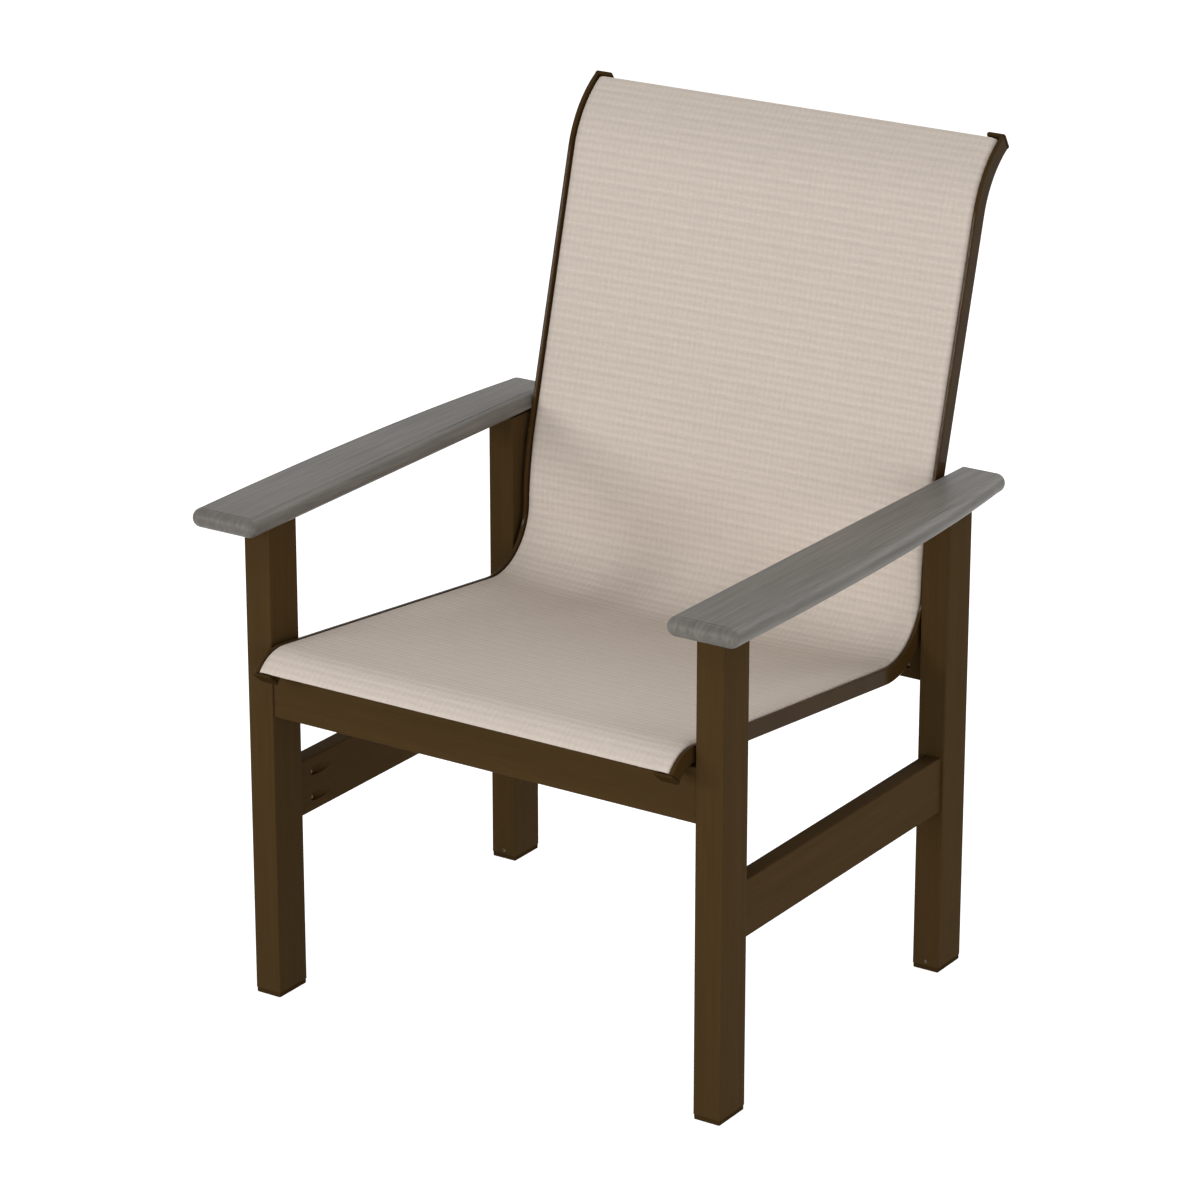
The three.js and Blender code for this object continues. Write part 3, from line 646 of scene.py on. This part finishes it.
# Sling rails: an extrusion with an outer bead, and a slot and chamber that hold the fabric's hem
railSizes = {
    "outer": 289, "inner": 266, "depth": 18, "bead": 3, "beadEdge": 284, "mouthEdge": 279.7,
    "lip": 1.8, "mouthDepth": 4.5, "chamberDepth": 7, "chamberRadius": 4, "chamberSides": 20,
    "beadRadius": 1.1, "innerBeadRadius": 0.9, "corner": 1.5, "cornerSteps": 4,
    "cell": (268, 275.85, 3.8, 16), "cellCorner": 1.2, "endReach": 1, "hollowReach": 3,
    "weepHoles": [(-331.6, 431.6), (-323.4, 433.6)], "weepRadius": 1.3, "weepDepth": 2,
}


def railSection():
    s = railSizes
    bpy.ops.mesh.primitive_plane_add(size=1)
    section = bpy.context.object
    section.scale = ((s["outer"] - s["inner"]) * mm, (s["depth"] + s["bead"]) * mm, 1)
    section.location = ((s["outer"] + s["inner"]) / 2 * mm, (s["depth"] - s["bead"]) / 2 * mm, 0)
    applyPlace(section)
    edit(section)
    for x in (s["beadEdge"], s["mouthEdge"]):
        bpy.ops.mesh.select_all(action="SELECT")
        bpy.ops.mesh.bisect(plane_co=(x * mm, 0, 0), plane_no=(1, 0, 0))
    for depth in (s["lip"], s["mouthDepth"]):
        bpy.ops.mesh.select_all(action="SELECT")
        bpy.ops.mesh.bisect(plane_co=(0, depth * mm, 0), plane_no=(0, 1, 0))

    def inSlot(face):
        spot = face.calc_center_median() / mm
        inMouth = s["mouthEdge"] < spot.x < s["beadEdge"] and spot.y < s["mouthDepth"]
        return inMouth or (spot.x < s["mouthEdge"] and spot.y < s["lip"])

    pick(section, "FACE", inSlot)
    bpy.ops.mesh.delete(type="FACE")
    bpy.ops.mesh.select_all(action="SELECT")
    bpy.ops.mesh.dissolve_limited(angle_limit=0.01)
    corners = [
        (s["outer"], -s["bead"], s["beadRadius"]), (s["beadEdge"], -s["bead"], s["innerBeadRadius"]),
        (s["mouthEdge"], s["lip"], s["corner"]), (s["inner"], s["lip"], s["corner"]),
        (s["inner"], s["depth"], s["corner"]), (s["outer"], s["depth"], s["corner"]),
    ]
    for x, depth, radius in corners:
        spot = Vector((x, depth, 0)) * mm
        pick(section, "VERT", lambda vertex: (vertex.co - spot).length < tiny)
        bevel(radius, s["cornerSteps"], "VERTICES")
    leaveEdit()
    return section


def chamberSection():
    s = railSizes
    centre = ((s["beadEdge"] + s["mouthEdge"]) / 2 * mm, s["chamberDepth"] * mm, 0)
    bpy.ops.mesh.primitive_circle_add(
        vertices=s["chamberSides"], radius=s["chamberRadius"] * mm, fill_type="NGON", location=centre,
    )
    applyPlace(bpy.context.object)
    return bpy.context.object


def cellSection():
    left, right, near, far = railSizes["cell"]
    centre = ((left + right) / 2 * mm, (near + far) / 2 * mm, 0)
    bpy.ops.mesh.primitive_plane_add(size=1, location=centre)
    cell = bpy.context.object
    cell.scale = ((right - left) * mm, (far - near) * mm, 1)
    applyPlace(cell)
    edit(cell)
    bpy.ops.mesh.select_all(action="SELECT")
    bevel(railSizes["cellCorner"], 2, "VERTICES")
    leaveEdit()
    return cell


spreader = {
    "upBack": 0.55,  # share of the straight back's length
    "height": 22, "thickness": 10, "bow": 36, "steps": 36, "corner": 2.5, "cornerSteps": 4, "gap": 0.3,
    "peg": 3.5, "pegFrom": 262, "pegLength": 10.9, "holeFrom": 264, "holeLength": 9.3, "holeGap": 0.3,
}
backStart = sum(run["length"] for run in path["runs"][:4])
spreaderAt = backStart + spreader["upBack"] * path["runs"][4]["length"]
spreaderDepth = (railSizes["lip"] + railSizes["depth"]) / 2


def pegRod(sign, start, radius, length):
    # A rod outwards along X, at the spreader bar's place on the path
    foot = pathFrame(spreaderAt) @ Vector((sign * start * mm, spreaderDepth * mm, 0))
    return addRod(foot, Vector((sign, 0, 0)), radius * mm, length * mm)


def makeRail():
    s = railSizes
    pieces = []
    sections = [(railSection(), s["endReach"])]
    sections += [(section, s["hollowReach"]) for section in (chamberSection(), cellSection())]
    for section, lead in sections:
        placeOnPath(section, -lead)
        sweepFrom(section, lead)
        pieces.append(section)
    combine(pieces[0], pieces[1:], "DIFFERENCE")
    return pieces[0]


def mirrorX(piece):
    choose(piece)
    bpy.ops.object.duplicate()
    copy = bpy.context.object
    copy.scale = (-1, 1, 1)
    applyPlace(copy)
    outwards(copy)
    return copy


rightRail = makeRail()
railBars = {"right": rightRail, "left": mirrorX(rightRail)}
for side, sign in sides.items():
    bar = railBars[side]
    holes = screwHoles([n for n in screws if n.startswith("rail_screw") and side in n], [])
    holeRadius = spreader["peg"] + spreader["holeGap"]
    holes.append(pegRod(sign, spreader["holeFrom"], holeRadius, spreader["holeLength"]))
    depth = railSizes["weepDepth"]
    for y, z in railSizes["weepHoles"]:
        start = Vector((sign * (railSizes["outer"] - depth) * mm, y * mm, z * mm))
        radius = railSizes["weepRadius"] * mm
        holes.append(addRod(start, Vector((sign, 0, 0)), radius, 2 * depth * mm, screwSizes["holeSides"]))
    combine(bar, holes, "DIFFERENCE")
    names = ["sling_rail_" + side]
    finishPiece(bar, "slingRail" + side.title(), powder, names, smoothAngle=30)
print("rails made")


# Plugs in the rails' ends: moulded, with eased edges that leave a fine seam where they meet the rail
plugSizes = {
    "thickness": 4, "lip": 0.8, "corner": 3, "cornerSteps": 5, "domeRadius": 1.3, "domeSteps": 3,
    "seamRadius": 0.9, "tongue": 6, "tongueGap": 0.8, "gap": 0.3,
}
s, r = plugSizes, railSizes
for side, sign in sides.items():
    for row, outward in (("front", -1), ("top", 1)):
        low = Vector((r["inner"] - s["lip"], -r["bead"] - s["lip"], 0)) * mm
        high = Vector((r["outer"] + s["lip"], r["depth"] + s["lip"], s["thickness"])) * mm
        plug = addBlock(low, high)
        roundEdges(plug, s["corner"], s["cornerSteps"], lambda edge: runsAlong(edge, 2))
        far = s["thickness"] * mm - tiny
        roundEdges(
            plug, s["domeRadius"], s["domeSteps"], lambda edge: all(v.co.z > far for v in edge.verts),
        )
        roundEdges(plug, s["seamRadius"], 1, lambda edge: all(v.co.z < tiny for v in edge.verts))
        left, right, near, deep = r["cell"]
        space = s["tongueGap"]
        tongueLow = Vector((left + space, near + space, -s["tongue"])) * mm
        tongueHigh = Vector((right - space, deep - space, s["thickness"] / 2)) * mm
        combine(plug, [addBlock(tongueLow, tongueHigh)], "UNION")
        plug.scale = (sign, 1, outward)
        applyPlace(plug)
        reach = r["endReach"] + s["gap"]
        placeOnPath(plug, -reach if row == "front" else slingLength + reach)
        outwards(plug)
        name = f"endPlug{row.title()}{side.title()}"
        finishPiece(plug, name, nylon, [f"end_cap_{row}_{side}"], smoothAngle=40)
print("plugs made")


# Spreader bar: a flat bar bowed back behind the sling, with a peg at each end
def makeSpreader():
    s = spreader
    half = railSizes["inner"] - s["gap"]
    radius = (half ** 2 + s["bow"] ** 2) / (2 * s["bow"])
    sweepAngle = 2 * math.asin(half / radius)
    bpy.ops.mesh.primitive_plane_add(size=1, rotation=(0, math.pi / 2, 0))
    bar = bpy.context.object
    bar.scale = (s["height"] * mm, s["thickness"] * mm, 1)
    bar.location = (-half * mm, spreaderDepth * mm, 0)
    applyPlace(bar)
    edit(bar)
    bpy.ops.mesh.select_all(action="SELECT")
    bevel(s["corner"], s["cornerSteps"], "VERTICES")
    bpy.ops.mesh.select_all(action="SELECT")
    end = Vector((-half, spreaderDepth, 0)) * mm
    bpy.ops.transform.rotate(value=-sweepAngle / 2, orient_axis="Z", center_override=end)
    centre = Vector((0, spreaderDepth + s["bow"] - radius, 0)) * mm
    bpy.ops.mesh.spin(steps=s["steps"], angle=sweepAngle, center=centre, axis=(0, 0, 1))
    leaveEdit()
    outwards(bar)
    return bar


bar = makeSpreader()
placeOnPath(bar, spreaderAt)
pegs = []
for sign in sides.values():
    pegs.append(pegRod(sign, spreader["pegFrom"], spreader["peg"], spreader["pegLength"]))
combine(bar, pegs, "UNION")
finishPiece(bar, "backSpreader", powder, ["back_spreader"])
print("spreader made")


# Screws with a domed head and a square drive
def makeScrew(screw):
    size, s = screw["size"], screwSizes
    head, height, drive = size["head"] * mm, size["height"] * mm, size["drive"] * mm
    bpy.ops.mesh.primitive_cylinder_add(
        vertices=s["headSides"], radius=head, depth=height, location=(0, 0, height / 2),
    )
    piece = bpy.context.object
    applyPlace(piece)
    top, domeRadius = height - tiny, s["dome"] * size["height"]
    roundEdges(piece, domeRadius, s["domeSteps"], lambda edge: all(v.co.z > top for v in edge.verts))
    start, length = Vector((0, 0, height / 2)), screw["length"] - height / 2
    shank = addRod(start, Vector((0, 0, -1)), size["shank"] * mm, length, s["shankSides"])
    tip = (0, 0, height - screw["length"])
    edit(shank)
    pick(shank, "FACE", lambda face: face.normal.z < -0.9)
    bpy.ops.mesh.inset(thickness=0)
    bpy.ops.transform.resize(value=(s["point"], s["point"], 1), center_override=tip)
    leaveEdit()
    combine(piece, [shank], "UNION")
    low = Vector((-drive, -drive, height * s["driveFrom"]))
    high = Vector((drive, drive, height * s["driveTo"]))
    combine(piece, [addBlock(low, high)], "DIFFERENCE")
    return piece


for name, screw in screws.items():
    piece = makeScrew(screw)
    piece.rotation_euler = screw["back"].to_track_quat("Z", "Y").to_euler()
    piece.location = screw["seat"]
    applyPlace(piece)
    words = name.split("_")
    title = words[0] + "".join(word.title() for word in words[1:])
    finishPiece(piece, title, steel, [name], smoothAngle=40)
print("screws made")


# Spacers between rails and legs, and glides under the legs
spacerSizes = {"radius": 6, "edge": 0.5, "edgeSteps": 2, "bore": 2.4, "boreSides": 16, "past": 1}
glideSizes = {"plate": 6, "corner": 2, "cornerSteps": 4, "edge": 1.2, "edgeSteps": 3, "stem": 6}
for side, sign in sides.items():
    outward = Vector((sign, 0, 0))
    for place in ("front", "bend", "back"):
        s = spacerSizes
        node = f"rail_spacer_{place}_{side}"
        low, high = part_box(node)
        centre = (low + high) / 2
        start = Vector((min(low.x * sign, high.x * sign) * sign, centre.y, centre.z))
        length = high.x - low.x
        spacer = addRod(start, outward, s["radius"] * mm, length)
        roundEdges(
            spacer, s["edge"], s["edgeSteps"],
            lambda edge: abs(edge.verts[0].co.x - edge.verts[1].co.x) < tiny,
        )
        past = s["past"] * mm
        bore = addRod(start - outward * past, outward, s["bore"] * mm, length + 2 * past, s["boreSides"])
        combine(spacer, [bore], "DIFFERENCE")
        name = f"railSpacer{place.title()}{side.title()}"
        finishPiece(spacer, name, nylon, [node], smoothAngle=40)
    for row in ("front", "back"):
        s = glideSizes
        node = f"glide_{row}_{side}"
        low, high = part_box(node)
        plateTop = s["plate"] * mm
        glide = addBlock(low, Vector((high.x, high.y, plateTop)))
        roundEdges(glide, s["corner"], s["cornerSteps"], lambda edge: runsAlong(edge, 2))
        roundEdges(glide, s["edge"], s["edgeSteps"], lambda edge: all(v.co.z < tiny for v in edge.verts))
        centre = (low + high) / 2
        foot = Vector((centre.x, centre.y, plateTop / 2))
        stem = addRod(foot, Vector((0, 0, 1)), s["stem"] * mm, high.z - plateTop / 2)
        combine(glide, [stem], "UNION")
        combine(glide, screwHoles([f"glide_screw_{row}_{side}"], []), "DIFFERENCE")
        name = f"glide{row.title()}{side.title()}"
        finishPiece(glide, name, nylon, [node], smoothAngle=40)
print("spacers and glides made")


# Sling: one sheet. Each side rises beside the rail, rolls over the lip into the slot, goes round
# the spline and comes back under itself as a welded hem.
cloth = {
    "sag": 8, "edgeX": 280, "riseFrom": 236, "flatSteps": 9, "riseSteps": 5, "rollSteps": 10,
    # Over the seat the edge stands a little above the rail's bead, and on the back it dips behind it
    "seatEdge": {"crestX": 276, "level": 4.4, "drop": 5.0, "slotX": 283.5},
    "backEdge": {"crestX": 270.5, "level": 2.8, "drop": 6.0, "slotX": 282.6},
    "seatEnds": 480, "backStarts": 690, "level": 3,
    "slotDepth": 3.5, "thickness": 1.2, "hemGap": 0.06,
    "loopRadius": 3.4, "loopFrom": 40, "loopTo": 320, "loopSteps": 14,
    "hemEnd": (258, 250, 243), "topMargin": 2.6, "smoothAngle": 50,
}


def smooth(share):
    share = min(max(share, 0), 1)
    return share * share * (3 - 2 * share)


def clothSection(distance):
    # x and depth of the cloth's face, from the middle out to the end of one hem
    c = cloth
    swell = max(math.sin(math.pi * distance / slingLength), 0)
    onBack = smooth((distance - c["seatEnds"]) / (c["backStarts"] - c["seatEnds"]))
    edge = {key: seat + (c["backEdge"][key] - seat) * onBack for key, seat in c["seatEdge"].items()}
    riseWidth = edge["crestX"] - c["riseFrom"]

    def faceDepth(x):
        sagged = c["sag"] * (1 - (x / c["edgeX"]) ** 2) * swell
        rise = (edge["level"] - c["level"]) * smooth((x - c["riseFrom"]) / riseWidth)
        return sagged - c["level"] - rise

    flat = [c["riseFrom"] * i / c["flatSteps"] for i in range(c["flatSteps"])]
    rising = [c["riseFrom"] + riseWidth * i / c["riseSteps"] for i in range(c["riseSteps"])]
    points = [(x, faceDepth(x)) for x in flat + rising]
    crest = faceDepth(edge["crestX"])
    wide, deep = edge["slotX"] - edge["crestX"], edge["drop"]
    under = 2 * c["thickness"] + c["hemGap"]
    roll, hem = [], []  # the hem's face lies behind the cloth's
    for i in range(c["rollSteps"] + 1):
        angle = math.pi / 2 * i / c["rollSteps"]
        x, depth = edge["crestX"] + wide * math.sin(angle), crest + deep * (1 - math.cos(angle))
        outward = Vector((deep * math.sin(angle), -wide * math.cos(angle))).normalized()
        roll.append((x, depth))
        hem.append((x - under * outward.x, depth - under * outward.y))
    roll.append((edge["slotX"], c["slotDepth"]))
    hem.append((edge["slotX"] - under, c["slotDepth"]))
    loop = []
    loopX, loopDepth = (railSizes["beadEdge"] + railSizes["mouthEdge"]) / 2, railSizes["chamberDepth"]
    for i in range(c["loopSteps"] + 1):
        angle = math.radians(c["loopFrom"] + (c["loopTo"] - c["loopFrom"]) * i / c["loopSteps"])
        loop.append((
            loopX + c["loopRadius"] * math.sin(angle), loopDepth - c["loopRadius"] * math.cos(angle),
        ))
    return points + roll + loop + hem[::-1] + [(x, faceDepth(x) + under) for x in c["hemEnd"]]


def clothStations():
    stations, start = [0], 0
    for run in path["runs"]:
        stations += [start + run["length"] * (i + 1) / run["steps"] for i in range(run["steps"])]
        start += run["length"]
    stations[-1] -= cloth["topMargin"]
    return stations


def makeCloth():
    stations = clothStations()
    vertices, places, widths = [], [], []
    for distance in stations:
        right = clothSection(distance)
        section = [(-x, depth) for x, depth in reversed(right[1:])] + right
        matrix = pathFrame(distance)
        reach = [0]
        for near, far in zip(section, section[1:]):
            reach.append(reach[-1] + math.dist(near, far))
        widths.append(reach[-1])
        for (x, depth), across in zip(section, reach):
            vertices.append(matrix @ Vector((x * mm, depth * mm, 0)))
            places.append(((across - reach[-1] / 2) * mm, distance * mm))
    columns = len(section)
    faces = []
    for row in range(len(stations) - 1):
        for column in range(columns - 1):
            a = row * columns + column
            faces.append((a, a + 1, a + columns + 1, a + columns))
    mesh = bpy.data.meshes.new("sling")
    mesh.from_pydata(vertices, [], faces)
    uvMap = mesh.uv_layers.new(name="UVMap")
    for loop in mesh.loops:
        uvMap.data[loop.index].uv = places[loop.vertex_index]
    piece = bpy.data.objects.new("slingFabric", mesh)
    scene.collection.objects.link(piece)
    return piece, sum(widths) / len(widths)


sling, clothWidth = makeCloth()
choose(sling)
solidify = sling.modifiers.new("thickness", "SOLIDIFY")
solidify.thickness = cloth["thickness"] * mm
solidify.offset = -1
bpy.ops.object.modifier_apply(modifier=solidify.name)
bpy.ops.object.shade_smooth_by_angle(angle=math.radians(cloth["smoothAngle"]))
sling.data.materials.append(fabric)
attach(sling, "root")
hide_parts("sling")
print("sling made")


# Studio: a pale floor, a white surround and softboxes
studio = {
    "surround": 0.22, "floorColour": "#C4C4C4", "floorGlow": 0.9, "floorSize": 80,
    "aim": (0, 0, 0.55), "distance": 4.0,
    "softboxes": {  # direction from the chair, watts, width and height in metres
        "front": ((0, -1, 0.05), 36, 1.8, 1.4),
        "frontHigh": ((0, -0.66, 0.75), 24, 1.8, 1.8),
        "frontLeftStrip": ((-0.611, -0.765, 0.205), 14, 0.22, 0.6),
        "frontStrip": ((-0.428, -0.875, 0.228), 18, 0.24, 0.6),
        "frontRight": ((0.7, -0.7, 0.03), 30, 1.8, 1.4),
        "rightLow": ((0.98, -0.15, 0.02), 30, 1.8, 1.8),
        "behindHigh": ((0, 0.55, 0.835), 43, 1.8, 1.8),
        "behindRight": ((0.43, 0.78, 0.45), 32, 1.8, 1.8),
    },
}


def seenOrMirrored(tree):
    # 1 for rays that show the surface itself, 0 for those that only light the chair
    rays = addNode(tree, "LightPath").outputs
    seen = rays["Is Camera Ray"]
    for kind in ("Is Glossy Ray", "Is Transmission Ray"):
        seen = addNode(tree, "Math", {0: seen, 1: rays[kind]}, operation="MAXIMUM").outputs["Value"]
    return seen


world = bpy.data.worlds.new("studio")
scene.world = world
world.use_nodes = True
tree = world.node_tree
background = tree.nodes["Background"]
background.inputs["Color"].default_value = (1, 1, 1, 1)
strength = addNode(tree, "MapRange", {
    "Value": seenOrMirrored(tree), "To Min": studio["surround"], "To Max": 1,
})
tree.links.new(strength.outputs["Result"], background.inputs["Strength"])

bpy.ops.mesh.primitive_plane_add(size=studio["floorSize"])
floor = bpy.context.object
floor.name = "studioFloor"
applyPlace(floor)
floorMaterial = bpy.data.materials.new("paleFloor")
floorMaterial.use_nodes = True
tree = floorMaterial.node_tree
tree.nodes.clear()
matt = addNode(tree, "BsdfDiffuse", {"Color": linear(studio["floorColour"])})
lit = addNode(tree, "Math", {0: seenOrMirrored(tree), 1: studio["floorGlow"]}, operation="MULTIPLY")
glow = addNode(tree, "Emission", {"Strength": lit.outputs["Value"]})
both = addNode(tree, "AddShader", {0: matt.outputs["BSDF"], 1: glow.outputs["Emission"]})
addNode(tree, "OutputMaterial", {"Surface": both.outputs["Shader"]})
floor.data.materials.append(floorMaterial)
floor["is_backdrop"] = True

aim = Vector(studio["aim"])
for name, (direction, power, width, height) in studio["softboxes"].items():
    towards = Vector(direction).normalized()
    bpy.ops.object.light_add(type="AREA", location=aim + towards * studio["distance"])
    lamp = bpy.context.object
    lamp.name = name + "Softbox"
    lamp.rotation_euler = (-towards).to_track_quat("-Z", "Y").to_euler()
    lamp.data.shape = "RECTANGLE"
    lamp.data.size = width
    lamp.data.size_y = height
    lamp.data.energy = power
    lamp.visible_camera = False
scene.view_settings.view_transform = "Standard"
print("studio lit")

low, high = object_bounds()
